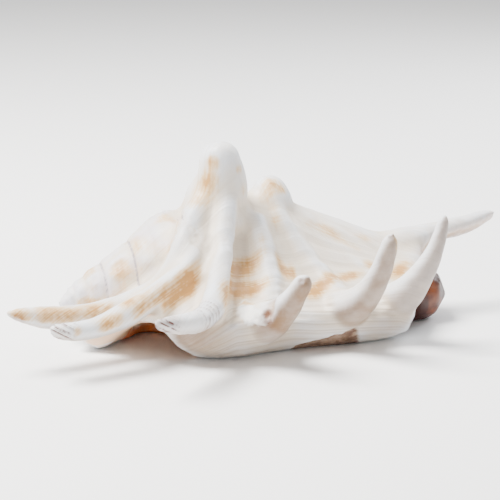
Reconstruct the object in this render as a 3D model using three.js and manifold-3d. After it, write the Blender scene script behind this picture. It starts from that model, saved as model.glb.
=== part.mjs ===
// Adult spider conch shell (Lambis), resting mouth down, in millimetres.
// +X runs to the siphonal canal, -X to the apex, -Y to the outer lip with its fingers, +Z up.
// The shell grew as one piece, so everything is joined into one solid called "shell".
import * as THREE from "three";
import { mergeVertices } from "three/addons/utils/BufferGeometryUtils.js";
import Module from "manifold-3d";

// ---- Driving dimensions ----

// Body whorl and flared lip: outlines across X. Each row is x, then y,z of eight points round the outline:
// base, back, shoulder, crest, waist, top of the lip, face of the lip, foot of the lip.
const WHORL_OUTLINES = [
  { x: -65, ring: [[-10, 7]] },
  { x: -56, ring: [[-7, 0.6], [1, 4], [0, 9], [-6, 12], [-11, 11], [-15, 8], [-16, 5], [-13, 1]] },
  { x: -44, ring: [[3, -1], [13, 7], [11, 15], [-2, 20], [-13, 19], [-22, 18], [-25, 14], [-17, 8]] },
  { x: -34, ring: [[6, -1], [21, 10], [18, 26], [-1, 32], [-14, 26.5], [-31, 21], [-39, 11], [-28, 3]] },
  { x: -24, ring: [[8, -1], [26, 12], [22, 32], [0, 41], [-15, 32], [-34, 20], [-42.5, 12], [-28, -1]] },
  { x: -14, ring: [[8, -1], [29, 13], [25, 34], [0, 45], [-16, 31], [-35, 19], [-44, 12], [-30, -1]] },
  { x: -4, ring: [[8, -1], [30, 13], [26, 35], [1, 45], [-16, 29], [-34, 17], [-41, 11], [-28, -1]] },
  { x: 10, ring: [[8, -1], [31, 13], [26, 32], [4, 43.4], [-15, 28], [-32, 17], [-38.5, 10], [-27, -1]] },
  { x: 28, ring: [[8, -1], [28, 13], [23, 27], [5, 36], [-14, 24], [-32, 16], [-38.5, 9], [-27, -1]] },
  { x: 44, ring: [[6, -1], [21, 12], [18, 22], [4, 30], [-13, 21], [-30, 15], [-35, 9], [-27, 1]] },
  { x: 56, ring: [[2, 4], [12, 12], [10, 21], [2, 27], [-6, 24], [-14, 19], [-16, 13], [-9, 6]] },
  { x: 66, ring: [[0, 26]] },
];

// The mouth: the long slot between the lip and the columella, cut up into the whorl.
const MOUTH_OUTLINES = [
  { x: -52, ring: [[-22, 5]] },
  { x: -43, ring: [[-3, -6], [-5, 3], [-11, 9], [-21, 11], [-32, 9.5], [-39, 4], [-36, -6]] },
  { x: -37, ring: [[4, -6], [0, 4], [-7, 12], [-17, 16], [-28, 12], [-33, 4], [-29, -6]] },
  { x: -26, ring: [[-6, -6], [-7, 6], [-8, 16], [-16, 21], [-26, 16], [-29, 6], [-23, -6]] },
  { x: 0, ring: [[-13, -6], [-11, 6], [-8, 16], [-15, 21], [-26, 16], [-29, 6], [-22, -6]] },
  { x: 28, ring: [[-13, -6], [-10, 6], [-8, 14], [-14, 18], [-24, 14], [-28, 6], [-21, -6]] },
  { x: 46, ring: [[-15, -6], [-12, 4], [-10, 10], [-15, 14.5], [-23, 12], [-27, 5], [-23, -6]] },
  { x: 60, ring: [[-22, 4]] },
];

// Ribs and fingers: x, y, z and radius along each, from the crest out to the tip.
const FINGERS = {
  first: [
    [-13, -4, 55, 4.5], [-17, -5, 46.5, 5.4], [-24, -12, 39.5, 4.6], [-28.3, -17, 33, 4.2],
    [-31.6, -19.5, 27.7, 4], [-37.5, -19.8, 21.6, 4], [-46.4, -20, 17.8, 4.1], [-54.4, -20.6, 15.6, 4.1],
    [-63, -22.6, 15.3, 4], [-75.7, -25, 16.8, 3.7], [-82, -25.7, 18.3, 2.9], [-89.5, -26, 20.2, 2],
  ],
  second: [
    [-19, -11, 38.5, 4.6], [-23.7, -18, 33, 4.2], [-28.3, -23, 28.4, 4], [-33.2, -26, 25.7, 3.8],
    [-42.9, -30, 21.3, 4], [-52.3, -33, 17.4, 4], [-61.5, -35.5, 15.4, 3.5], [-71.3, -37.8, 15.5, 3.2],
    [-78.5, -38.3, 17.3, 2],
  ],
  third: [
    [-10.8, -5.3, 59, 3.4], [-11, -8, 49.3, 4.2], [-13.4, -14.4, 40.3, 3.8], [-17.3, -24.3, 31.4, 3.7],
    [-22, -34.2, 24.8, 3.9], [-25.8, -42, 20.8, 4.2], [-32.2, -49.8, 19.2, 3.8], [-40.8, -57.2, 20.6, 3.3],
    [-52, -66, 24.2, 2],
  ],
  fourth: [
    [-10, -32, 11, 7.5], [-7.5, -41.5, 14, 6.8], [-4.6, -48.6, 19.5, 5],
    [-2.2, -54, 26, 3.7], [0, -58.4, 33.2, 3],
  ],
  fifth: [
    [18, -28, 12, 7], [22.5, -37.5, 15, 6.2], [25.3, -45, 21.5, 4.8],
    [27.8, -49.5, 30, 3.6], [30.4, -52, 43.2, 2.8],
  ],
  sixth: [
    [37, -27, 11, 7], [41.8, -34.5, 16, 6], [45.6, -39.5, 24, 4.4],
    [49.8, -41, 33, 3], [54, -40, 45.6, 2],
  ],
};
const LOW_RIBS = [
  [[-1, -3, 41.5, 4], [0, -15, 29, 3.8], [-1.5, -26, 21, 3.8], [-5, -37, 14, 5]],
  [[7, 1, 41.5, 4.4], [13, -10, 28.8, 4], [19, -23, 20, 4], [23, -36, 13, 5]],
  [[18, 4, 33.2, 4], [29, -8, 23, 3.8], [38, -21, 16.2, 3.8], [43, -32, 12, 5]],
];

// Knobs on the crest, the canal and the brown front end of the columella, as x, y, z, radius.
const TALL_KNOB = [
  [-12.5, -1, 36, 14], [-12.2, -2, 45, 11], [-11.3, -3.2, 50.5, 9], [-11.4, -3.8, 56, 7.6],
  [-11.9, -4, 61, 6.5], [-12.5, -4, 65.9, 4.3],
];
const SMALL_KNOB = [[9, 4, 34, 10], [9, 5, 42, 7.4], [9, 6, 46.5, 5.8], [9, 6, 51, 3.2]];
const CANAL = [
  [34, 4, 17, 11], [48, 3, 20, 9], [58, 1.5, 24.5, 6], [68, 0, 27.6, 4.2], [79, 1.6, 28.8, 3.9],
  [88, 3.6, 30.8, 3], [94, 5, 32.2, 2.3],
];
const CANAL_GROOVE = [[58, -7, 17, 2.4], [68, -4, 23.4, 2.2], [80, -2, 26.2, 1.9], [100, 3, 30.2, 1.4]];
const COLUMELLA_END = [[26, -2, 8, 9], [44, -5, 9, 10], [57, -8, 9, 10.3], [68, -11, 8, 6]];

// Spire: a cone of whorls wound as a log spiral. Radii are given along its axis, from the apex.
const APEX = new THREE.Vector3(-67, 0, 13.4);
const SPIRE_BASE = new THREE.Vector3(-14, 3.2, 21.5);
const SPIRE_PROFILE = [
  [0, 0], [1.6, 2], [5.7, 4.5], [11.2, 7.3], [17.2, 9.9], [24.4, 12.9], [31, 16.3], [38, 19.8],
  [44, 21.8], [50, 19], [54, 0],
];
const SUTURE_AT = 17.2;
const WHORL_GROWTH = 1.62;
const WHORL_SWELL = 0.8;

// How finely each shape is faceted, as sides and rings, and how blunt the rods end.
const WHORL_FACETS = [38, 34];
const MOUTH_FACETS = [28, 22];
const SPIRE_FACETS = [26, 30];
const FINGER_SIDES = 12;
const KNOB_SIDES = 16;
const GROOVE_SIDES = 8;
const END_BLUNTNESS = 12;

const MERGE_WITHIN = 1e-3;
const FLOOR_BLOCK = { across: 400, deep: 40 };
const SHELL_COLOR = 0xf2ece2;

// ---- Shaping helpers ----

const wasm = await Module();
wasm.setup();

// A manifold-3d solid from a closed three.js geometry, turned to face out.
function solidOf(geometry) {
  geometry.deleteAttribute("normal");
  geometry.deleteAttribute("uv");
  const merged = mergeVertices(geometry, MERGE_WITHIN);
  const vertProperties = merged.attributes.position.array;
  const triVerts = new Uint32Array(merged.index.array);
  const made = new wasm.Manifold(new wasm.Mesh({ numProp: 3, vertProperties, triVerts }));
  if (made.volume() > 0) return made;
  triVerts.reverse();
  return new wasm.Manifold(new wasm.Mesh({ numProp: 3, vertProperties, triVerts }));
}

// A sphere whose every point is moved: place(along, around) takes two shares from 0 to 1.
function skin(sides, rings, place) {
  const geometry = new THREE.SphereGeometry(1, sides, rings);
  const { position, uv } = geometry.attributes;
  for (let i = 0; i < position.count; i++) {
    const point = place(1 - uv.getY(i), uv.getX(i));
    position.setXYZ(i, point.x, point.y, point.z);
  }
  return solidOf(geometry);
}

// A skin through outlines set across X. An outline of one point closes an end.
function loft(outlines, sides, rings) {
  const points = Math.max(...outlines.map((outline) => outline.ring.length));
  const rails = [];
  for (let k = 0; k < points; k++) {
    const rail = outlines.map(({ x, ring }) => new THREE.Vector3(x, ...ring[k % ring.length]));
    rails.push(new THREE.CatmullRomCurve3(rail, false, "centripetal"));
  }
  return skin(sides, rings, (along, around) => {
    const ring = rails.map((rail) => rail.getPoint(along));
    return new THREE.CatmullRomCurve3(ring, true, "catmullrom", 0.5).getPoint(around % 1);
  });
}

// A bent, tapered rod with round ends: stations are x, y, z, radius.
function horn(stations, sides = FINGER_SIDES, rings = 2 * stations.length + 3) {
  const path = new THREE.CatmullRomCurve3(stations.map(([x, y, z]) => new THREE.Vector3(x, y, z)));
  const radii = new THREE.CatmullRomCurve3(stations.map((station, i) => new THREE.Vector3(i, station[3], 0)));
  const frames = path.computeFrenetFrames(rings, false);
  return skin(sides, rings, (along, around) => {
    const ring = Math.round(along * rings);
    const share = path.getUtoTmapping(along);
    const roundEnd = Math.sqrt(1 - Math.abs(2 * along - 1) ** END_BLUNTNESS);
    const radius = radii.getPoint(share).y * roundEnd;
    const angle = around * 2 * Math.PI;
    const point = path.getPoint(share);
    point.addScaledVector(frames.normals[ring], Math.cos(angle) * radius);
    return point.addScaledVector(frames.binormals[ring], Math.sin(angle) * radius);
  });
}

// ---- The shell's own shapes ----

// The spire: a lathed cone whose turns swell between the sutures.
function spire() {
  const outline = new THREE.SplineCurve(SPIRE_PROFILE.map(([s, r]) => new THREE.Vector2(r, s)));
  const [sides, rings] = SPIRE_FACETS;
  const profile = outline.getPoints(rings);
  profile[0].x = 0;
  profile.at(-1).x = 0;
  const geometry = new THREE.LatheGeometry(profile, sides);
  const position = geometry.attributes.position;
  const point = new THREE.Vector3();
  for (let i = 0; i < position.count; i++) {
    point.fromBufferAttribute(position, i);
    const radius = Math.hypot(point.x, point.z);
    if (radius > 1) {
      const turn = Math.atan2(point.x, point.z) / (2 * Math.PI);
      const turns = Math.log(point.y / SUTURE_AT) / Math.log(WHORL_GROWTH) + turn;
      const swell = (Math.abs(Math.sin(Math.PI * turns)) - 0.5) * WHORL_SWELL;
      point.x *= 1 + swell / radius;
      point.z *= 1 + swell / radius;
    }
    position.setXYZ(i, point.x, point.y, point.z);
  }
  const axis = SPIRE_BASE.clone().sub(APEX).normalize();
  const turned = new THREE.Quaternion().setFromUnitVectors(new THREE.Vector3(0, 1, 0), axis);
  geometry.applyQuaternion(turned).translate(APEX.x, APEX.y, APEX.z);
  return solidOf(geometry);
}

// Everything below the resting plane.
function underFloor() {
  const { across, deep } = FLOOR_BLOCK;
  return solidOf(new THREE.BoxGeometry(across, across, deep).translate(0, 0, -deep / 2));
}

// Joined in the order in which each shape may cover the last: the mouth cuts the whorls, not the fingers.
function shellSolid() {
  let body = loft(WHORL_OUTLINES, ...WHORL_FACETS).add(spire()).add(horn(COLUMELLA_END, KNOB_SIDES));
  body = body.subtract(loft(MOUTH_OUTLINES, ...MOUTH_FACETS));
  for (const rod of [CANAL, ...LOW_RIBS, ...Object.values(FINGERS)]) body = body.add(horn(rod));
  for (const knob of [TALL_KNOB, SMALL_KNOB]) body = body.add(horn(knob, KNOB_SIDES));
  return body.subtract(horn(CANAL_GROOVE, GROOVE_SIDES)).subtract(underFloor());
}

function meshOf(name, solid, color) {
  const { vertProperties, triVerts } = solid.getMesh();
  const geometry = new THREE.BufferGeometry();
  geometry.setAttribute("position", new THREE.BufferAttribute(vertProperties, 3));
  geometry.setIndex(new THREE.BufferAttribute(triVerts, 1));
  geometry.computeVertexNormals();
  const material = new THREE.MeshStandardMaterial({ color, roughness: 0.45, metalness: 0 });
  const mesh = new THREE.Mesh(geometry, material);
  mesh.name = name;
  return mesh;
}

const conch = new THREE.Group();
conch.add(meshOf("shell", shellSolid(), SHELL_COLOR));

// The origin is the middle of the footprint, on the resting plane.
const middle = new THREE.Box3().setFromObject(conch).getCenter(new THREE.Vector3());
conch.position.set(-middle.x, -middle.y, 0);

export default conch;
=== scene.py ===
"""Looks of a spider conch shell: one grown piece, resting mouth down on a pale floor.

Frame units are metres. Places on the shell are given in millimetres in its own axes: X from the spire to the
siphonal canal, -Y to the outer lip, Z up, with the resting plane at 0.
"""

import itertools
import math

import bpy
import numpy as np
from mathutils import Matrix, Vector


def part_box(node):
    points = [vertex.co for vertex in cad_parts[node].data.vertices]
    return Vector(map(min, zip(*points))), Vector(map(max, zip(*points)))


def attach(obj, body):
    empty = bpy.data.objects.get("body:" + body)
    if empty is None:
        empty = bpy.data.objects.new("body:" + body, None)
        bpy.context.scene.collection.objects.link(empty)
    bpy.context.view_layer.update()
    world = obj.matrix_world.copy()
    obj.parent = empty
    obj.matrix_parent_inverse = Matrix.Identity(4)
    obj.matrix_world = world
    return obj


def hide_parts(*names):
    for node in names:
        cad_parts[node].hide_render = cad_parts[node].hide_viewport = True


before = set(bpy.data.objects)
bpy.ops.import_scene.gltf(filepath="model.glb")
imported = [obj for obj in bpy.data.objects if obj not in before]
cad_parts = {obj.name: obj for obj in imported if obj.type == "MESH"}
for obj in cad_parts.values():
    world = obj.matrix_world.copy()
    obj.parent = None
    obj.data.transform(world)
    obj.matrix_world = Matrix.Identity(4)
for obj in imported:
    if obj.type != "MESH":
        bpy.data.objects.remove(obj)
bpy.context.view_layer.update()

MM = 0.001

# The first finger reaches furthest to -X and the third to -Y, which ties the shell's axes to the frame.
LOW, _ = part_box("shell")
FURTHEST_REACH = np.array([-89.5, -66.0, 0.0])
TO_FRAME = np.array(LOW) / MM - FURTHEST_REACH

# Remeshing: swelling and shrinking by the fillet fills the corners where the parts meet.
VOXEL = 0.78
FILLET = 1.6
FILLET_SMOOTHING = {"rounds": 4, "pull": 0.5}
FINAL_SMOOTHING = {"rounds": 9, "pull": 0.5, "push": 0.52}
RIDGE_SMOOTHING = {"rounds": 60, "pull": 0.5}

# Spire: a cone of whorls wound as a log spiral about an axis from the apex.
APEX = np.array([-67.0, 0.0, 13.4])
SPIRE_AXIS = np.array([53.0, 3.2, 8.1]) / np.linalg.norm([53.0, 3.2, 8.1])
SPIRE_LENGTH = 46.0
CONE_SLOPE = 0.52
CONE_START = 2.5
SUTURE_AT = 17.2
WHORL_GROWTH = 1.62

# The growth lines turn about this y, z line under the lip, the cords about this x, y point behind the knobs.
LIP_HINGE = (-8, 1)
LIP_REACH = 34
CORD_CENTRE = (3, 20)
CORD_REACH = 40

# Paths through the middle of the mouth, the groove of the canal, the columella's front end and the fingers.
MOUTH_CENTRE = np.array([-19.0, 6.0])
MOUTH = [(-50, -22, 4), (-37, -20, 6), (-20, -18, 9), (28, -18, 8), (46, -19, 5), (60, -22, 3)]
CANAL_GROOVE = [(54, -7, 14), (60, -6, 19.5), (68, -4, 24), (80, -2.4, 26.4), (96, 1.8, 30)]
COLUMELLA_END = [(40, -6, 6), (57, -8, 8), (68, -11, 7)]
FINGERS = {
    "first": [(-31.6, -19.5, 27.7), (-37.5, -19.8, 21.6), (-46.4, -20, 17.8), (-63, -22.6, 15.3),
              (-75.7, -25, 16.8), (-89.5, -26, 20.2)],
    "second": [(-33.2, -26, 25.7), (-42.9, -30, 21.3), (-52.3, -33, 17.4), (-61.5, -35.5, 15.4),
               (-71.3, -37.8, 15.5), (-78.5, -38.3, 17.3)],
    "third": [(-22, -34.2, 24.8), (-25.8, -42, 20.8), (-32.2, -49.8, 19.2), (-40.8, -57.2, 20.6),
              (-52, -66, 24.2)],
    "fourth": [(-7.5, -41.5, 14), (-4.6, -48.6, 19.5), (0, -58.4, 33.2)],
    "fifth": [(22.5, -37.5, 15), (25.3, -45, 21.5), (30.4, -52, 43.2)],
    "sixth": [(41.8, -34.5, 16), (45.6, -39.5, 24), (54, -40, 45.6)],
}
# Half width of a finger against the length along its path.
FINGER_WIDTHS = ([0, 20, 45], [5.8, 4.8, 3.6])


# ---- Mesh helpers ----

def read(collection, name, kind=np.float32, width=3):
    flat = np.empty(len(collection) * width, kind)
    collection.foreach_get(name, flat)
    return flat.reshape(-1, width)


def positions(mesh):
    """Vertex places in the shell's own axes, in millimetres."""
    return read(mesh.vertices, "co").astype(float) / MM - TO_FRAME


def place(mesh, points):
    mesh.vertices.foreach_set("co", ((points + TO_FRAME) * MM).astype(np.float32).ravel())
    mesh.update()


def normals(mesh):
    return read(mesh.vertex_normals, "vector").astype(float)


def relax(mesh, points, rounds, pull, push=0.0):
    """Laplacian smoothing. A push slightly stronger than the pull keeps the volume."""
    start, end = read(mesh.edges, "vertices", np.int32, 2).T
    count = np.bincount(np.concatenate([start, end]), minlength=len(points)).clip(1)[:, None]
    for step in [pull, -push] * rounds:
        total = np.zeros_like(points)
        for axis in range(3):
            total[:, axis] = np.bincount(start, points[end, axis], len(points))
            total[:, axis] += np.bincount(end, points[start, axis], len(points))
        points = points + step * (total / count - points)
    return points


def remesh(piece):
    modifier = piece.modifiers.new("remesh", "REMESH")
    modifier.mode = "VOXEL"
    modifier.voxel_size = VOXEL * MM
    evaluated = piece.evaluated_get(bpy.context.evaluated_depsgraph_get())
    made = bpy.data.meshes.new_from_object(evaluated)
    piece.modifiers.clear()
    old = piece.data
    piece.data = made
    bpy.data.meshes.remove(old)


def swell(piece, distance):
    place(piece.data, positions(piece.data) + distance * normals(piece.data))


# ---- Fields on the surface ----

def ramp(start, end, value):
    """0 at start, 1 at end, with a smooth rise between them."""
    share = np.clip((value - start) / (end - start), 0, 1)
    return share * share * (3 - 2 * share)


def hump(distance, width):
    """1 at distance 0, falling away smoothly over the width."""
    return np.exp(-(distance / width) ** 2)


def grain(points, size, seed):
    """Smooth random heights from -1 to 1, with lumps about as wide as size."""
    cells = 64
    table = np.random.default_rng(seed).uniform(-1, 1, (cells, cells, cells))
    places = points / size
    cell = np.floor(places).astype(int)
    weight = ramp(0, 1, places - cell)
    total = np.zeros(len(points))
    for corner in itertools.product((0, 1), repeat=3):
        share = np.prod(np.where(corner, weight, 1 - weight), axis=1)
        i, j, k = ((cell + corner) % cells).T
        total += share * table[i, j, k]
    return total


def lines(coordinate, size, seed):
    """Random heights along one coordinate: parallel lines about size apart."""
    flat = np.zeros((len(coordinate), 3))
    flat[:, 0] = coordinate
    return grain(flat, size, seed)


def layered(field, coordinate, layers):
    """Sum of random heights. Each layer has a height, a size and a seed."""
    return sum(height * field(coordinate, size, seed) for height, size, seed in layers)


def from_point(points, point):
    return np.linalg.norm(points - np.array(point), axis=1)


def from_path(points, path):
    """Distance from a path of straight stretches, and the length along it to the nearest point."""
    path = np.array(path, float)
    nearest = np.full(len(points), np.inf)
    reached = np.zeros(len(points))
    length = 0.0
    for start, end in zip(path, path[1:]):
        stretch = np.linalg.norm(end - start)
        share = np.clip((points - start) @ (end - start) / stretch**2, 0, 1)
        distance = np.linalg.norm(points - start - share[:, None] * (end - start), axis=1)
        closer = distance < nearest
        nearest = np.where(closer, distance, nearest)
        reached = np.where(closer, length + share * stretch, reached)
        length += stretch
    return nearest, reached


def spire_place(points):
    """Height from the apex, angle round the axis and distance from the axis of the spire."""
    offset = points - APEX
    height = offset @ SPIRE_AXIS
    across = np.cross([0, 0, 1], SPIRE_AXIS)
    across /= np.linalg.norm(across)
    upward = np.cross(SPIRE_AXIS, across)
    side, up = offset @ across, offset @ upward
    return height, np.arctan2(side, up), np.hypot(side, up)


def spire_share(points):
    """1 on the spire, 0 on the fingers and the last whorl."""
    height, _, radius = spire_place(points)
    cone = CONE_SLOPE * height + CONE_START
    share = ramp(SPIRE_LENGTH, SPIRE_LENGTH - 5, height) * ramp(4.0, 1.5, radius - cone)
    first, _ = from_path(points, FINGERS["first"])
    return share * ramp(5.5, 7.5, first) * ramp(-1, 1, height) * ramp(1, 4, points[:, 2])


def suture_distance(points):
    """Distance along the spire from the nearest suture, positive on the younger whorl's side."""
    height, angle, _ = spire_place(points)
    height = np.maximum(height, 0.5)
    turns = np.log(height / SUTURE_AT) / math.log(WHORL_GROWTH) - angle / (2 * math.pi)
    return (turns - np.round(turns)) * height * math.log(WHORL_GROWTH)


def growth_place(points):
    """Millimetres in the direction of growth: lines of one value run alongside the lip's edge."""
    x, y, z = points.T
    hinge_y, hinge_z = LIP_HINGE
    turned = np.arctan2(z - hinge_z, hinge_y - y)
    curl = 0.5 * np.maximum(-18 - x, 0) + 0.25 * np.maximum(x - 40, 0)
    drift = 0.0022 * (x - 8) ** 2 + curl + 1.2 * grain(points, 14, 3)
    last_whorl = LIP_REACH * turned + drift
    _, angle, radius = spire_place(points)
    share = spire_share(points)
    return last_whorl * (1 - share) + angle * np.maximum(radius, 3) * share


def cord_place(points):
    """Millimetres across the cords that fan out from the knobs to the lip's edge."""
    x, y, _ = points.T
    centre_x, centre_y = CORD_CENTRE
    fan = CORD_REACH * np.arctan2(x - centre_x, centre_y - y) + 0.8 * grain(points, 16, 4)
    share = spire_share(points)
    return fan * (1 - share) + suture_distance(points) * share


def mouth_share(points, directions):
    """1 inside the mouth, 0 on the outside of the shell."""
    distance, _ = from_path(points, MOUTH)
    inward = MOUTH_CENTRE - points[:, 1:]
    facing = (inward * directions[:, 1:]).sum(1) / np.linalg.norm(inward, axis=1)
    return ramp(15.5, 12.5, distance) * ramp(24, 20, points[:, 2]) * ramp(-0.1, 0.25, facing)


def finger_share(points, margin=1.5, names=tuple(FINGERS)):
    """1 on the named fingers, falling to 0 over the margin."""
    share = np.zeros(len(points))
    for name in names:
        distance, along = from_path(points, FINGERS[name])
        width = np.interp(along, *FINGER_WIDTHS)
        share = np.maximum(share, ramp(width + margin, width, distance))
    return share


class Surface:
    """The shell's surface at its vertices, with the fields that several reliefs and markings share."""

    def __init__(self, mesh):
        self.points, self.directions = positions(mesh), normals(mesh)
        self.x, self.y, self.z = self.points.T
        self.mouth = mouth_share(self.points, self.directions)
        self.fingers = finger_share(self.points)
        self.spire = spire_share(self.points)
        self.growth = growth_place(self.points)
        self.cords = cord_place(self.points)

    def near(self, path, width):
        distance, _ = from_path(self.points, path)
        return hump(distance, width)


# ---- Relief, as heights along the normals in millimetres ----

# Random layers as height, size and seed.
GROWTH_LINES = [(0.16, 1.7, 5), (0.22, 4.2, 6)]
LIP_FACE_LINES = [(0.22, 1.3, 7), (0.2, 2.6, 10)]
CORDS = [(0.09, 1.7, 8), (0.14, 3.6, 9)]
BROAD_LUMPS = [(0.30, 11, 11), (0.15, 5, 12)]
FINE_LUMPS = [(0.05, 2.2, 13)]
# Old lip edges crossing the whorl, as place along the growth, height and width.
VARICES = [(8, 0.35, 1.6), (-3, 0.3, 1.4)]

SUTURE_DEPTH = 0.42
WHORL_STEP = 0.3
SPIRE_FOLD = 0.16
FOLDS_PER_TURN = 13

# The chalky plate on the lip's face, in x and z, and the crevice beside it, rust-red partly as a stain and
# partly as painted shadow.
SCAR_MIDDLE = np.array([-13.4, 16.7])
SCAR_SIZE = np.array([3.5, 2.5])
SCAR_EDGE = [(0.22, 2.6, 21), (0.12, 1.3, 22)]
SCAR_HEIGHT = 0.75
SCAR_PITS = 0.35
CREVICE = [(-8.4, -47, 22.5), (-9.3, -49.2, 20.4), (-10.4, -48.6, 17)]
CREVICE_DEPTH = 1.3

# Painted shadow under the lip's curled lower margin between the fourth and fifth fingers, on a sunk band: x
# and the height of its edge.
FOOT_SHADOW_EDGE = [(2, -2), (5, 3.2), (9, 4), (14, 5), (20, 6.4), (24, 7.6), (27, 2), (29, -2)]
FOOT_BAND_DEPTH = 1.1

# Ring wrinkles round the bend of the third finger: where they start and end along it, and their wave's rate.
THIRD_FINGER_RINGS = (11.0, 29.0)
RING_RATE = 3.3
RING_SLANT = 0.25
RING_HEIGHT = 0.16
# Direction across the wrinkles and dark streaks on the worn finger ends.
TIP_STREAKS = np.array([0.6, 0.1, 1.0])
WRINKLE_HEIGHT = 0.3
# Small pits on the ends of the fourth and fifth fingers.
PITS = [(-2.6, -58.2, 31.4), (2.4, -57.4, 31.6), (29.2, -52.7, 41.6)]
PIT_DEPTH = 0.6
GROOVE_DEPTH = 1.1


def scar_reach(surface):
    """Below 1 on the ragged plate of the lip's face."""
    offset = (np.stack([surface.x, surface.z], 1) - SCAR_MIDDLE) / SCAR_SIZE
    ragged = layered(grain, surface.points, SCAR_EDGE)
    return np.hypot(*offset.T) + ragged + 4 * ramp(-34, -30, surface.y)


def foot_shadow_share(surface):
    """1 on the band below a ragged edge along the lip's foot, which is painted as the shadow under the lip's
    curled margin.
    """
    edge = np.interp(surface.x, *np.array(FOOT_SHADOW_EDGE).T) + 0.9 * grain(surface.points, 2.4, 24)
    return ramp(0.35, -0.35, surface.z - edge) * ramp(-27, -30, surface.y)


def lip_face(surface):
    """1 on the outside of the lip below the fingers' bends."""
    return ramp(-32, -37, surface.y) * ramp(26, 18, surface.z) * (1 - surface.fingers)


def ring_wave(surface, along):
    return np.sin(along * RING_RATE + RING_SLANT * surface.z)


def spire_relief(surface):
    """Sutures, the step up to each younger whorl and the folds between."""
    beyond = suture_distance(surface.points)
    _, angle, _ = spire_place(surface.points)
    groove = -SUTURE_DEPTH * hump(beyond, 0.8)
    step = WHORL_STEP * ramp(-0.8, 0.8, beyond) * ramp(7, 1.5, beyond)
    folds = SPIRE_FOLD * np.sin(angle * FOLDS_PER_TURN) * ramp(0.5, 3.5, np.abs(beyond))
    return surface.spire * (groove + step + folds)


def growth_relief(surface):
    growth = surface.growth
    calm = 1 - 0.65 * surface.fingers
    fine = layered(lines, growth, GROWTH_LINES)
    on_face = lip_face(surface) * layered(lines, growth, LIP_FACE_LINES)
    varices = sum(height * hump(growth - middle, width) for middle, height, width in VARICES)
    return (1 - surface.mouth) * (calm * (fine + varices * ramp(20, 12, surface.z)) + on_face)


def cord_relief(surface):
    back = ramp(10, 20, surface.z) * (1 - surface.fingers)
    return back * layered(lines, surface.cords, CORDS)


def lump_relief(surface):
    fine = layered(grain, surface.points, FINE_LUMPS) * (1 - surface.mouth)
    return layered(grain, surface.points, BROAD_LUMPS) + fine


def scar_relief(surface):
    """The raised plate with its pits, and the crevice beside it."""
    reach = scar_reach(surface)
    plate = SCAR_HEIGHT * ramp(1.05, 0.88, reach)
    pits = -SCAR_PITS * ramp(0.1, 0.5, grain(surface.points, 1.8, 23)) * ramp(1, 0.8, reach)
    return plate + pits - CREVICE_DEPTH * surface.near(CREVICE, 1.7)


def foot_band_relief(surface):
    """Thin layered lines on the band of painted shadow at the lip's foot, sunk below the lip's surface."""
    layers = 0.3 * lines(surface.z + 0.5 * grain(surface.points, 3, 25), 0.9, 26)
    return foot_shadow_share(surface) * (layers - FOOT_BAND_DEPTH)


def finger_relief(surface):
    """Rings on the third finger, wrinkles on the worn ends of three fingers, and pits on the next two."""
    points = surface.points
    distance, along = from_path(points, FINGERS["third"])
    start, end = THIRD_FINGER_RINGS
    rings = ramp(start, start + 2, along) * ramp(end, end - 5, along) * ramp(7, 5.5, distance)
    height = RING_HEIGHT * rings * ring_wave(surface, along)
    wrinkles = lines(points @ TIP_STREAKS, 1.3, 31)
    for name in ("first", "second", "third"):
        distance, _ = from_path(points, FINGERS[name])
        tip = from_point(points, FINGERS[name][-1])
        height += WRINKLE_HEIGHT * wrinkles * ramp(12, 6, tip) * ramp(6.5, 5, distance)
    for pit in PITS:
        height -= PIT_DEPTH * hump(from_point(points, pit), 0.9)
    return height


def canal_relief(surface):
    return -GROOVE_DEPTH * surface.near(CANAL_GROOVE, 2.6)


def lip_relief(surface):
    """The lip sinks between the fingers and thickens just above its foot."""
    x, z = surface.x, surface.z
    clear = 1 - finger_share(surface.points, 4)
    face = ramp(-33, -38, surface.y) * clear * ramp(-30, -22, x) * ramp(52, 44, x)
    return face * (-0.35 * hump(z - 12, 5) + 0.25 * hump(z - 4, 2.5))


RELIEFS = (
    spire_relief, growth_relief, cord_relief, lump_relief, scar_relief,
    foot_band_relief, finger_relief, canal_relief, lip_relief,
)


def carve(piece):
    """Adds the relief, which fades out at the resting plane."""
    surface = Surface(piece.data)
    height = np.zeros(len(surface.points))
    for relief in RELIEFS:
        height += relief(surface)
    height *= ramp(0.2, 2.0, surface.z)
    place(piece.data, surface.points + height[:, None] * surface.directions)


def grown_shell():
    """The construction solid with soft fillets where its parts meet, then with its fine relief."""
    piece = bpy.data.objects.new("conch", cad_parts["shell"].data.copy())
    bpy.context.scene.collection.objects.link(piece)
    remesh(piece)
    swell(piece, FILLET)
    remesh(piece)
    place(piece.data, relax(piece.data, positions(piece.data), **FILLET_SMOOTHING))
    swell(piece, -FILLET)
    remesh(piece)
    place(piece.data, relax(piece.data, positions(piece.data), **FINAL_SMOOTHING))
    carve(piece)
    return piece


# ---- Markings, as shares from 0 to 1 on the surface ----

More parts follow.
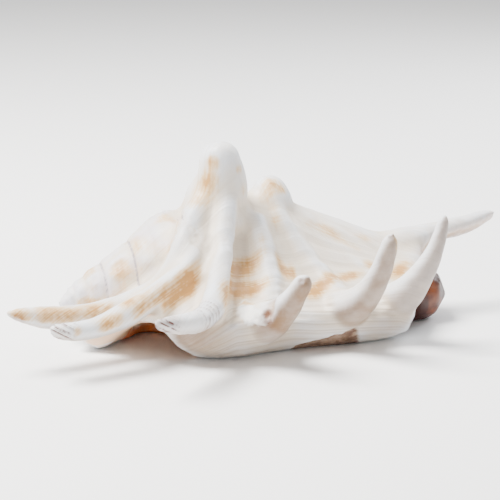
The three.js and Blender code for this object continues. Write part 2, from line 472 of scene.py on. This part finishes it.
# Tan patches: x, y, z of the middle, half length, half width, heading in plan from +X in degrees, strength.
TAN_PATCHES = {
    "beyond the second finger": [
        (-38.5, -32, 22, 4.6, 2.6, 25, 1.3), (-33, -30, 21.5, 3.4, 2, 20, 0.6),
        (-31.3, -29.1, 26, 3, 2, 40, 0.8), (-28.6, -28, 26.5, 3.4, 1.8, 60, 0.75),
        (-25, -24, 27, 3.2, 1.6, 70, 0.6), (-29, -28.4, 23, 3, 2, 30, 0.4),
        (-45, -32, 21, 2.6, 2, 20, 0.5),
    ],
    "beyond the third finger": [
        (-13.5, -23.2, 26, 3.4, 3, 80, 1.15), (-5, -18.7, 27, 4.6, 2, 15, 0.95),
        (-9.5, -22, 25, 5, 2.4, 10, 0.6), (-20, -39, 24, 3.6, 2.4, 75, 1.1),
        (-22, -43.4, 22, 2.4, 2, 70, 0.8), (-13.4, -30.5, 22, 3.4, 2, 0, 1.05),
        (-8.9, -28.5, 22, 4, 2, 0, 0.9), (-5, -28, 21.6, 3, 1.6, 10, 0.8),
        (-15, -31.5, 22, 4, 3, 0, 0.6), (-13, -36.6, 18, 1.8, 1.4, 0, 0.9),
    ],
    "beyond the fourth finger": [
        (3.8, -19.6, 25.4, 3.2, 1.6, 75, 0.85), (5.4, -22, 24, 2.6, 1.5, 75, 0.8),
        (7.8, -21.5, 24, 3, 1, 80, 0.9), (15.5, -27.8, 19.5, 5, 1.8, 8, 1.15),
        (12, -30, 18.3, 3, 1.8, 0, 0.75), (25.4, -22.2, 21, 5, 1.7, 25, 1.1),
        (21, -25, 20.5, 4, 1.6, 20, 0.6), (30.7, -19.7, 21, 3, 1.4, 30, 0.6),
        (38, -14.2, 21.6, 2.4, 1.8, 50, 0.9), (17.8, -23.8, 24, 0.9, 0.9, 0, 0.4),
    ],
    "beyond the fifth finger": [
        (46.8, -17.4, 19.2, 3.8, 2.4, 35, 1.2), (50, -14, 20.5, 3, 2, 60, 0.5),
        (54, -12.4, 21, 2, 1.6, 0, 0.35),
    ],
    "back slope": [
        (25, -3.4, 33, 4, 2.4, -20, 0.5), (29, -4, 31, 3.4, 2.2, -30, 0.45),
        (40, -3, 28.2, 3.4, 1.8, -10, 0.45), (34.7, -7.5, 26.8, 4, 1.6, -20, 0.4),
        (19.4, -3.4, 35.5, 2, 2, 0, 0.3), (7, -6.2, 37.7, 2, 3, 0, 0.5),
        (-0.8, -14.8, 34, 1.6, 2.4, 0, 0.35),
    ],
    "first finger": [
        (-84.6, -27.8, 18.2, 2.4, 2.2, 0, 1.5), (-76.8, -28, 18.6, 2.8, 2.8, 10, 0.8),
        (-72.5, -27, 18, 2, 2.4, 10, 0.45), (-68.5, -27, 17.8, 3.6, 2.6, 10, 0.95),
        (-61, -25.4, 17.8, 2.8, 2.4, 10, 0.9), (-56, -23.8, 18.2, 3.4, 1.5, 5, 0.8),
    ],
    "second finger": [
        (-51, -33, 21.6, 2.4, 1.6, 15, 0.9), (-57.2, -37.6, 17.6, 3, 1.6, 15, 1.05),
        (-60, -38, 16.2, 2, 1.6, 10, 0.6), (-47.5, -35, 19.6, 2.6, 2.2, 20, 0.7),
        (-48, -36.5, 18, 2.2, 1, 30, 0.5), (-68.6, -41, 16.6, 1.3, 1.3, 0, 0.8),
    ],
    "spire": [
        (-38, -4, 31, 3, 2, 20, 0.45), (-35, -9, 31, 2.5, 3.5, 30, 0.45),
        (-47, -8, 24, 2, 3, 0, 0.35), (-56, -5, 19, 2, 3, 0, 0.3),
    ],
    "fifth finger": [(31.7, -52.4, 39.4, 1.3, 1.3, 0, 0.7)],
}
# A patch fades over this many of its half sizes in plan, and over this many millimetres up and down.
PATCH_SPREAD = 1.25
PATCH_DEPTH = 4.6
MOST_TAN = 1.4
# Spots on the knobs: x, y, z of the middle, radius, strength.
KNOB_SPOTS = [
    (-16.5, -10, 60, 2.4, 1.0), (-18, -9, 54, 3.6, 0.75), (-6.5, -10, 57, 1.8, 0.75), (-5, -9, 50, 2.4, 0.5),
    (-21, -9, 46, 4.0, 0.65), (-17.5, -8, 51, 5, 0.45), (8, 1, 49.5, 3.6, 0.7), (6, 0, 45, 4, 0.45),
    (12, 0, 47.5, 1.9, 0.85), (9, -1, 40, 2.4, 0.5),
]
# Rust-red stains, the one along the crevice partly painted shadow: paths with a width and a strength.
STAINS_AND_CREVICE_SHADE = {
    # Partly a stain and partly painted shadow in the crevice.
    "crevice": (CREVICE, 2.3, 1.0),
    "streak above the crevice": ([(-8.2, -47, 22.5), (-7, -48.2, 24), (-5.6, -49.4, 26.5)], 1.6, 0.5),
    "speck on the spire": ([(-51.5, -1, 22), (-50.5, -3, 22)], 1.2, 0.6),
    "pore under the first finger's tip": ([(-84, -28, 17.6), (-86, -28, 18.4)], 1.5, 0.6),
    "underside of the canal's tip": ([(74, -1.5, 25.5), (82, 0, 27)], 2.4, 0.35),
    "end of the lip": ([(57, -22, 9), (59, -20, 11)], 1.4, 0.8),
}
SPIRE_TAN = 0.55
HIDDEN_TAN = 1.15
HIDDEN_ROWS_APART = 3.4
RING_STAIN = 0.75
# How far the dark streaks reach back from the tips of two fingers.
STREAKED_ENDS = {"second": 11, "third": 13}
# Taupe on the last three fingers, on the side that faces away from the light.
FINGER_SHADE = {"fourth": 1.0, "fifth": 0.9, "sixth": 0.7}
TOWARD_LIGHT = np.array([-0.4, 0.6, 0.6])
TAUPE_TIP = 0.45
FAR_FROM_SUTURES = 9.0


def tan_share(surface):
    """Patches in the hollows and on two fingers, blots on the spire and spots on the knobs."""
    share = np.zeros(len(surface.points))
    for x, y, z, half_length, half_width, heading, strength in itertools.chain(*TAN_PATCHES.values()):
        turned = math.radians(heading)
        along = (surface.x - x) * math.cos(turned) + (surface.y - y) * math.sin(turned)
        aside = (surface.y - y) * math.cos(turned) - (surface.x - x) * math.sin(turned)
        across = np.hypot(along / half_length, aside / half_width)
        share += strength * hump(across, PATCH_SPREAD) * hump(surface.z - z, PATCH_DEPTH)
    share *= ramp(-0.5, 0.0, surface.directions[:, 2])
    share += SPIRE_TAN * surface.spire * ramp(0.0, 0.6, grain(surface.points, 7, 42))
    for *middle, radius, strength in KNOB_SPOTS:
        share += strength * hump(from_point(surface.points, middle), radius)
    return np.clip(share, 0, MOST_TAN)


def hidden_tan_share(surface):
    """Patches on the back and the spire's far side, in broken rows along the growth lines."""
    rows = 0.5 + 0.5 * np.sin(surface.growth / HIDDEN_ROWS_APART)
    blots = ramp(-0.05, 0.55, grain(surface.points, 9, 41)) * (0.4 + 0.6 * rows)
    return HIDDEN_TAN * blots * ramp(6, 13, surface.y) * (1 - surface.mouth)


def brown_share(surface):
    """Brown enamel on the columella, its front end and the far wall of the mouth, up to a white bump."""
    x, y, z = surface.x, surface.y, surface.z
    columella, _ = from_path(surface.points, COLUMELLA_END)
    lobe = ramp(13.5, 11.5, columella) * ramp(19.5, 16.5, z + 0.3 * (x - 60)) * ramp(50, 54, x)
    wall = surface.mouth * ramp(-26, -17, y + 0.6 * z)
    shield = ramp(0.25, -0.5, surface.directions[:, 2]) * ramp(-16, -10, y)
    shield *= ramp(9, 3, y + 0.8 * grain(surface.points, 6, 51)) * ramp(6, 3, z)
    past_bump = ramp(-0.5, 0.5, x + 47.5 - 0.6 * z)
    return np.clip(np.maximum.reduce([lobe, wall, shield]) * past_bump, 0, 1)


def stain_and_shade_share(surface):
    """Rust-red stains, partly painted shadow along the crevice, and thin arcs round the bend of the third
    finger.
    """
    share = np.zeros(len(surface.points))
    for path, width, strength in STAINS_AND_CREVICE_SHADE.values():
        share = np.maximum(share, strength * surface.near(path, width))
    distance, along = from_path(surface.points, FINGERS["third"])
    start, end = THIRD_FINGER_RINGS
    rings = ramp(start, start + 3, along) * ramp(end - 4, end - 8, along)
    rings *= ramp(0.3, 1, ring_wave(surface, along))
    return np.maximum(share, RING_STAIN * rings * ramp(7, 5.5, distance))


def tip_share(surface):
    """1 on the worn, streaked ends of the second and third fingers."""
    share = np.zeros(len(surface.points))
    for name, reach in STREAKED_ENDS.items():
        share = np.maximum(share, ramp(reach, reach - 4, from_point(surface.points, FINGERS[name][-1])))
    return share


def pit_share(surface):
    return np.maximum.reduce([hump(from_point(surface.points, pit), 1.0) for pit in PITS])


def ridge_share(mesh, points):
    """0 in hollows, 1 on ribs, fingers and knobs."""
    softened = relax(mesh, points, **RIDGE_SMOOTHING)
    height = ((points - softened) * normals(mesh)).sum(1)
    return ramp(-0.35, 0.9, height)


def shade_and_tip_taupe_share(surface):
    """Painted shade in warm grey: on the lip's face where it does not face up, most at its left end, on the
    undersides of the fingers, and on the front of the last three fingers, the side away from the light; also
    a tint on the third finger's end.
    """
    x, down = surface.x, -surface.directions[:, 2]
    face = lip_face(surface) * ramp(-0.7, 0.0, down)
    face *= 0.3 + 0.6 * ramp(-14, -32, x) - 0.25 * hump(x - 14, 8) + 0.2 * ramp(26, 38, x)
    share = np.maximum(face, 0.6 * surface.fingers * ramp(0.1, 0.8, down))
    # The side of each of the last three fingers turned away from the light, painted in shade.
    front = ramp(0.6, -0.25, surface.directions @ TOWARD_LIGHT)
    for name, strength in FINGER_SHADE.items():
        share = np.maximum(share, strength * front * finger_share(surface.points, 2.5, (name,)))
    third_tip = from_point(surface.points, FINGERS["third"][-1])
    return np.clip(np.maximum(share, TAUPE_TIP * ramp(16, 6, third_tip)), 0, 1)


def suture_mark(surface):
    """Distance from the nearest suture on the spire, growing towards the worn apex, where they fade."""
    height, _, _ = spire_place(surface.points)
    distance = np.abs(suture_distance(surface.points)) + ramp(14, 6, height)
    return np.where(surface.spire > 0.3, distance, FAR_FROM_SUTURES)


def mark(mesh, name, values):
    """Stores one value per vertex under a name that the material reads."""
    layer = mesh.attributes.new(name, "FLOAT", "POINT")
    layer.data.foreach_set("value", np.asarray(values, np.float32))


def paint(piece):
    mesh = piece.data
    surface = Surface(mesh)
    mark(mesh, "tan", np.maximum(tan_share(surface), hidden_tan_share(surface)))
    mark(mesh, "brown", brown_share(surface))
    mark(mesh, "wall", ramp(-24, -34, surface.x))
    mark(mesh, "canal", surface.near(CANAL_GROOVE, 3.0))
    mark(mesh, "stain_and_shade", stain_and_shade_share(surface))
    mark(mesh, "tip", tip_share(surface))
    mark(mesh, "pit", pit_share(surface))
    # Ribs and hollows, which carry colour that is partly painted highlight and shade.
    mark(mesh, "ridge", ridge_share(mesh, surface.points))
    # Painted shade in taupe, with a tint on the third finger's end.
    mark(mesh, "shade_and_tip_taupe", shade_and_tip_taupe_share(surface))
    mark(mesh, "face", lip_face(surface))
    # Painted shadow at the lip's foot.
    mark(mesh, "foot_shadow", foot_shadow_share(surface))
    mark(mesh, "scar", ramp(1.05, 0.9, scar_reach(surface)))
    mark(mesh, "spire", surface.spire)
    mark(mesh, "mouth", surface.mouth)
    mark(mesh, "suture", suture_mark(surface))
    mark(mesh, "growth", surface.growth)
    mark(mesh, "cord", surface.cords)
    mark(mesh, "streak", surface.points @ TIP_STREAKS)


# ---- Material ----

def color(code):
    """A linear colour from its sRGB code."""
    channels = [(code >> shift & 255) / 255 for shift in (16, 8, 0)]
    return (*[c / 12.92 if c <= 0.04045 else ((c + 0.055) / 1.055) ** 2.4 for c in channels], 1)


CREAM = color(0xE3D6C4)
# Cool white of the ribs, partly their own whiteness and partly a painted sky highlight.
RIB_AND_SKY_WHITE = color(0xE6EAF0)
SPIRE_LILAC = color(0xDED6DE)
PALE_TAN = color(0xDDB882)
TAN = color(0xBE8A48)
RUST = color(0x6E3412)
# Taupe for painted shade on the lip and the last fingers, and for growth lines.
TAUPE = color(0x80603F)
CHALK = color(0xF0EFEC)
ENAMEL_BROWN = color(0x3A1409)
ENAMEL_TAN = color(0x7A4020)
ENAMEL_WALL = color(0xE08A50)
MOUTH_PEACH = color(0xE2BE9C)
CANAL_ORANGE = color(0xB97F4C)
TIP_BROWN = color(0x5C342A)
SUTURE_GREY = color(0x8F8590)
# Dark and pale brown of the painted shadow under the lip's curled foot.
FOOT_SHADOW_DARK = color(0x6B5142)
FOOT_SHADOW_PALE = color(0xA58A76)
FLOOR_WHITE = color(0xFCFCFC)

# Sizes and spacings of the texture, and the depth of its finest relief, in millimetres.
BLOTCH_SIZE = 7
SPECKLE_SIZE = 1.6
GROWTH_LINES_APART = 0.8
FACE_LINES_APART = 1.1
CORD_LINES_APART = 1.1
STREAKS_APART = 1.1
BUMP_DEPTH = 0.35
SHELL_IOR = 1.45
GLOW_SHARE = 0.12
GLOW_REACH = 1.5


class Nodes:
    """Short calls that add shader nodes and link them."""

    def __init__(self, name):
        self.material = bpy.data.materials.new(name)
        self.material.use_nodes = True
        self.tree = self.material.node_tree
        self.shader = self.tree.nodes["Principled BSDF"]

    def add(self, kind, inputs, output=0, **settings):
        made = self.tree.nodes.new(kind)
        for key, value in settings.items():
            setattr(made, key, value)
        for key, value in inputs.items():
            self.feed(made.inputs[key], value)
        return made.outputs[output]

    def feed(self, socket, value):
        if isinstance(value, bpy.types.NodeSocket):
            self.tree.links.new(value, socket)
        else:
            socket.default_value = value

    def mark(self, name):
        return self.add("ShaderNodeAttribute", {}, "Fac", attribute_name=name)

    def math(self, operation, first, second, clamp=False):
        return self.add("ShaderNodeMath", {0: first, 1: second}, operation=operation, use_clamp=clamp)

    def times(self, first, second):
        return self.math("MULTIPLY", first, second)

    def plus(self, first, second):
        return self.math("ADD", first, second)

    def rise(self, value, start, end, low=0.0, high=1.0):
        """From low to high as the value goes from start to end, with smooth ends."""
        inputs = {"Value": value, "From Min": start, "From Max": end, "To Min": low, "To Max": high}
        return self.add("ShaderNodeMapRange", inputs, interpolation_type="SMOOTHSTEP")

    def noise(self, size, detail=3.0):
        """Noise with lumps about as wide as size, in millimetres."""
        place_on_shell = self.add("ShaderNodeTexCoord", {}, "Object")
        inputs = {"Vector": place_on_shell, "Scale": 1 / (size * MM), "Detail": detail}
        return self.add("ShaderNodeTexNoise", inputs)

    def lines(self, coordinate, size, detail=2.0):
        """Parallel lines about size apart along a coordinate, both in millimetres."""
        inputs = {"W": coordinate, "Scale": 1 / size, "Detail": detail}
        return self.add("ShaderNodeTexNoise", inputs, noise_dimensions="1D")

    def mix(self, share, below, above):
        """The colour below, covered by the share of the colour above."""
        return self.add("ShaderNodeMix", {0: share, 6: below, 7: above}, 2, data_type="RGBA")


def ground_color(nodes, blotch, growth_lines):
    """White with a cool tint on the ribs and cream in the hollows, partly the shell's colour and partly
    painted sky highlight and shade; lilac on the spire; taupe painted shade on the lip and the last fingers.
    """
    # Cool white on the ribs, partly the ribs' own whiteness and partly a painted sky highlight; the cream
    # left in the hollows is partly painted shade.
    rib_white_and_sheen = nodes.times(nodes.mark("ridge"), nodes.rise(blotch, 0.3, 0.7, 0.6, 1.0))
    result = nodes.mix(rib_white_and_sheen, CREAM, RIB_AND_SKY_WHITE)
    lilac = nodes.times(nodes.mark("spire"), nodes.rise(blotch, 0.4, 0.65, 0.0, 0.7))
    result = nodes.mix(lilac, result, SPIRE_LILAC)
    # Painted shade in taupe on the lip and the last fingers.
    shade_and_tip_taupe = nodes.times(nodes.mark("shade_and_tip_taupe"), nodes.rise(blotch, 0.3, 0.7, 0.8, 1.0))
    result = nodes.mix(shade_and_tip_taupe, result, TAUPE)
    face_lines = nodes.rise(nodes.lines(nodes.mark("growth"), FACE_LINES_APART), 0.45, 0.65)
    face_lines = nodes.times(face_lines, nodes.mark("face"))
    result = nodes.mix(nodes.times(face_lines, 0.3), result, TAUPE)
    return nodes.mix(nodes.times(nodes.rise(growth_lines, 0.5, 0.75), 0.1), result, TAUPE)


def add_tan(nodes, result, blotch, speckle, growth_lines):
    """Tan patches, broken up by blotches, specks, growth lines and cords."""
    cord_lines = nodes.lines(nodes.mark("cord"), CORD_LINES_APART)
    specks = nodes.rise(speckle, 0.3, 0.7, -0.16, 0.16)
    texture = nodes.plus(specks, nodes.rise(blotch, 0.3, 0.7, -0.25, 0.25))
    texture = nodes.plus(texture, nodes.rise(growth_lines, 0.35, 0.65, -0.18, 0.18))
    texture = nodes.plus(texture, nodes.rise(cord_lines, 0.35, 0.65, -0.12, 0.12))
    tan = nodes.times(nodes.mark("tan"), nodes.plus(texture, 1.0))
    result = nodes.mix(nodes.rise(tan, 0.08, 0.7, 0.0, 0.85), result, PALE_TAN)
    return nodes.mix(nodes.rise(tan, 0.55, 1.25, 0.0, 0.9), result, TAN)


def add_marks_and_shade(nodes, result, speckle):
    """Painted shadow at the lip's foot, the chalky plate, stains with painted shadow in the crevice,
    sutures, and the streaks and pits of the finger ends.
    """
    # Painted shadow under the lip's curled foot, mottled dark and pale.
    foot_shadow = nodes.mix(nodes.rise(nodes.noise(2.5), 0.35, 0.65), FOOT_SHADOW_DARK, FOOT_SHADOW_PALE)
    result = nodes.mix(nodes.mark("foot_shadow"), result, foot_shadow)
    result = nodes.mix(nodes.mark("scar"), result, CHALK)
    # Rust-red stains, with painted shadow along the crevice.
    stain_and_shade = nodes.times(nodes.mark("stain_and_shade"), nodes.rise(speckle, 0.3, 0.7, 0.6, 1.0))
    result = nodes.mix(nodes.times(stain_and_shade, 0.9), result, RUST)
    suture = nodes.rise(nodes.mark("suture"), 0.55, 0.12)
    suture = nodes.times(suture, nodes.rise(speckle, 0.3, 0.6, 0.3, 0.8))
    result = nodes.mix(suture, result, SUTURE_GREY)
    streaks = nodes.rise(nodes.lines(nodes.mark("streak"), STREAKS_APART), 0.44, 0.58)
    streaks = nodes.times(streaks, nodes.rise(speckle, 0.4, 0.6, 0.15, 1.0))
    result = nodes.mix(nodes.times(nodes.mark("tip"), streaks), result, TIP_BROWN)
    return nodes.mix(nodes.times(nodes.mark("pit"), 0.8), result, TIP_BROWN)


def add_enamel(nodes, result, blotch, speckle):
    """Orange in the canal, peach inside the mouth and brown on the columella."""
    orange = nodes.times(nodes.mark("canal"), nodes.rise(speckle, 0.3, 0.6, 0.6, 1.0))
    result = nodes.mix(orange, result, CANAL_ORANGE)
    result = nodes.mix(nodes.times(nodes.mark("mouth"), 0.9), result, MOUTH_PEACH)
    enamel = nodes.mix(nodes.rise(blotch, 0.48, 0.75), ENAMEL_BROWN, ENAMEL_TAN)
    enamel = nodes.mix(nodes.mark("wall"), enamel, ENAMEL_WALL)
    return nodes.mix(nodes.mark("brown"), result, enamel)


def shell_color(nodes):
    blotch = nodes.noise(BLOTCH_SIZE)
    speckle = nodes.noise(SPECKLE_SIZE)
    growth_lines = nodes.lines(nodes.mark("growth"), GROWTH_LINES_APART)
    result = ground_color(nodes, blotch, growth_lines)
    result = add_tan(nodes, result, blotch, speckle, growth_lines)
    result = add_marks_and_shade(nodes, result, speckle)
    return add_enamel(nodes, result, blotch, speckle)


def shell_bump(nodes):
    """Lines too fine for the mesh: growth lines, cords, specks and a rougher plate. The mouth is smooth."""
    growth_lines = nodes.lines(nodes.mark("growth"), 0.55)
    cord_lines = nodes.lines(nodes.mark("cord"), 0.8)
    face_lines = nodes.times(nodes.lines(nodes.mark("growth"), 1.3), nodes.mark("face"))
    height = nodes.plus(nodes.times(growth_lines, 0.5), nodes.times(cord_lines, 0.3))
    height = nodes.plus(height, nodes.times(nodes.noise(0.9), 0.35))
    height = nodes.plus(height, nodes.times(nodes.mark("scar"), nodes.noise(0.7)))
    height = nodes.plus(height, nodes.times(face_lines, 1.6))
    outside = nodes.math("SUBTRACT", 1.0, nodes.mark("mouth"), clamp=True)
    height = nodes.times(height, outside)
    return nodes.add("ShaderNodeBump", {"Strength": 0.5, "Distance": BUMP_DEPTH * MM, "Height": height})


def shell_material():
    nodes = Nodes("shell")
    nodes.feed(nodes.shader.inputs["Base Color"], shell_color(nodes))
    gloss = nodes.math("MAXIMUM", nodes.mark("brown"), nodes.mark("mouth"))
    satin = nodes.rise(nodes.noise(3), 0.3, 0.7, 0.38, 0.52)
    roughness = nodes.math("SUBTRACT", satin, nodes.times(gloss, 0.1))
    nodes.feed(nodes.shader.inputs["Roughness"], roughness)
    nodes.feed(nodes.shader.inputs["Normal"], shell_bump(nodes))
    nodes.shader.inputs["IOR"].default_value = SHELL_IOR
    nodes.shader.inputs["Subsurface Weight"].default_value = GLOW_SHARE
    nodes.shader.inputs["Subsurface Radius"].default_value = (1.0, 0.8, 0.65)
    nodes.shader.inputs["Subsurface Scale"].default_value = GLOW_REACH * MM
    return nodes.material


def floor_material():
    nodes = Nodes("floor")
    nodes.shader.inputs["Base Color"].default_value = FLOOR_WHITE
    nodes.shader.inputs["Roughness"].default_value = 0.6
    return nodes.material


# ---- Stage, light and camera ----

FLOOR_SIZE = 6
SKY_STRENGTH = 0.6
CAMERA_AZIMUTH = math.radians(-18)
CAMERA_ELEVATION = math.radians(15)
CAMERA_DISTANCE = 0.6
CAMERA_LENS = 127.4
CAMERA_RISE = 0.038
LOOKED_AT = (0, 0, 20)


def studio():
    bpy.ops.mesh.primitive_plane_add(size=FLOOR_SIZE)
    floor = bpy.context.object
    floor.name = "floor"
    floor.data.materials.append(floor_material())
    world = bpy.data.worlds.new("studio")
    world.use_nodes = True
    background = world.node_tree.nodes["Background"]
    background.inputs["Color"].default_value = (1, 1, 1, 1)
    background.inputs["Strength"].default_value = SKY_STRENGTH
    bpy.context.scene.world = world


def softbox(name, place_at, size, watts, light_color):
    """A square light turned to the origin."""
    light = bpy.data.lights.new(name, "AREA")
    light.size = size
    light.energy = watts
    light.color = light_color
    lamp = bpy.data.objects.new(name, light)
    lamp.location = place_at
    lamp.rotation_euler = (-Vector(place_at)).to_track_quat("-Z", "Y").to_euler()
    bpy.context.scene.collection.objects.link(lamp)


def camera():
    level = math.cos(CAMERA_ELEVATION)
    back = Vector((
        math.sin(CAMERA_AZIMUTH) * level,
        -math.cos(CAMERA_AZIMUTH) * level,
        math.sin(CAMERA_ELEVATION),
    ))
    eye = bpy.data.objects.new("camera", bpy.data.cameras.new("camera"))
    eye.data.lens = CAMERA_LENS
    eye.data.shift_y = CAMERA_RISE
    eye.location = Vector((TO_FRAME + LOOKED_AT) * MM) + back * CAMERA_DISTANCE
    eye.rotation_euler = (-back).to_track_quat("-Z", "Y").to_euler()
    bpy.context.scene.collection.objects.link(eye)
    bpy.context.scene.camera = eye


# ---- The scene ----

conch = grown_shell()
paint(conch)
conch.data.materials.clear()
conch.data.materials.append(shell_material())
conch.data.shade_smooth()
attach(conch, "root")
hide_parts("shell")

studio()
softbox("key", (-0.35, 0.15, 0.7), 0.4, 28, (1, 0.98, 0.95))
softbox("rim", (0.55, 0.3, 0.4), 0.4, 5, (0.93, 0.96, 1))
camera()
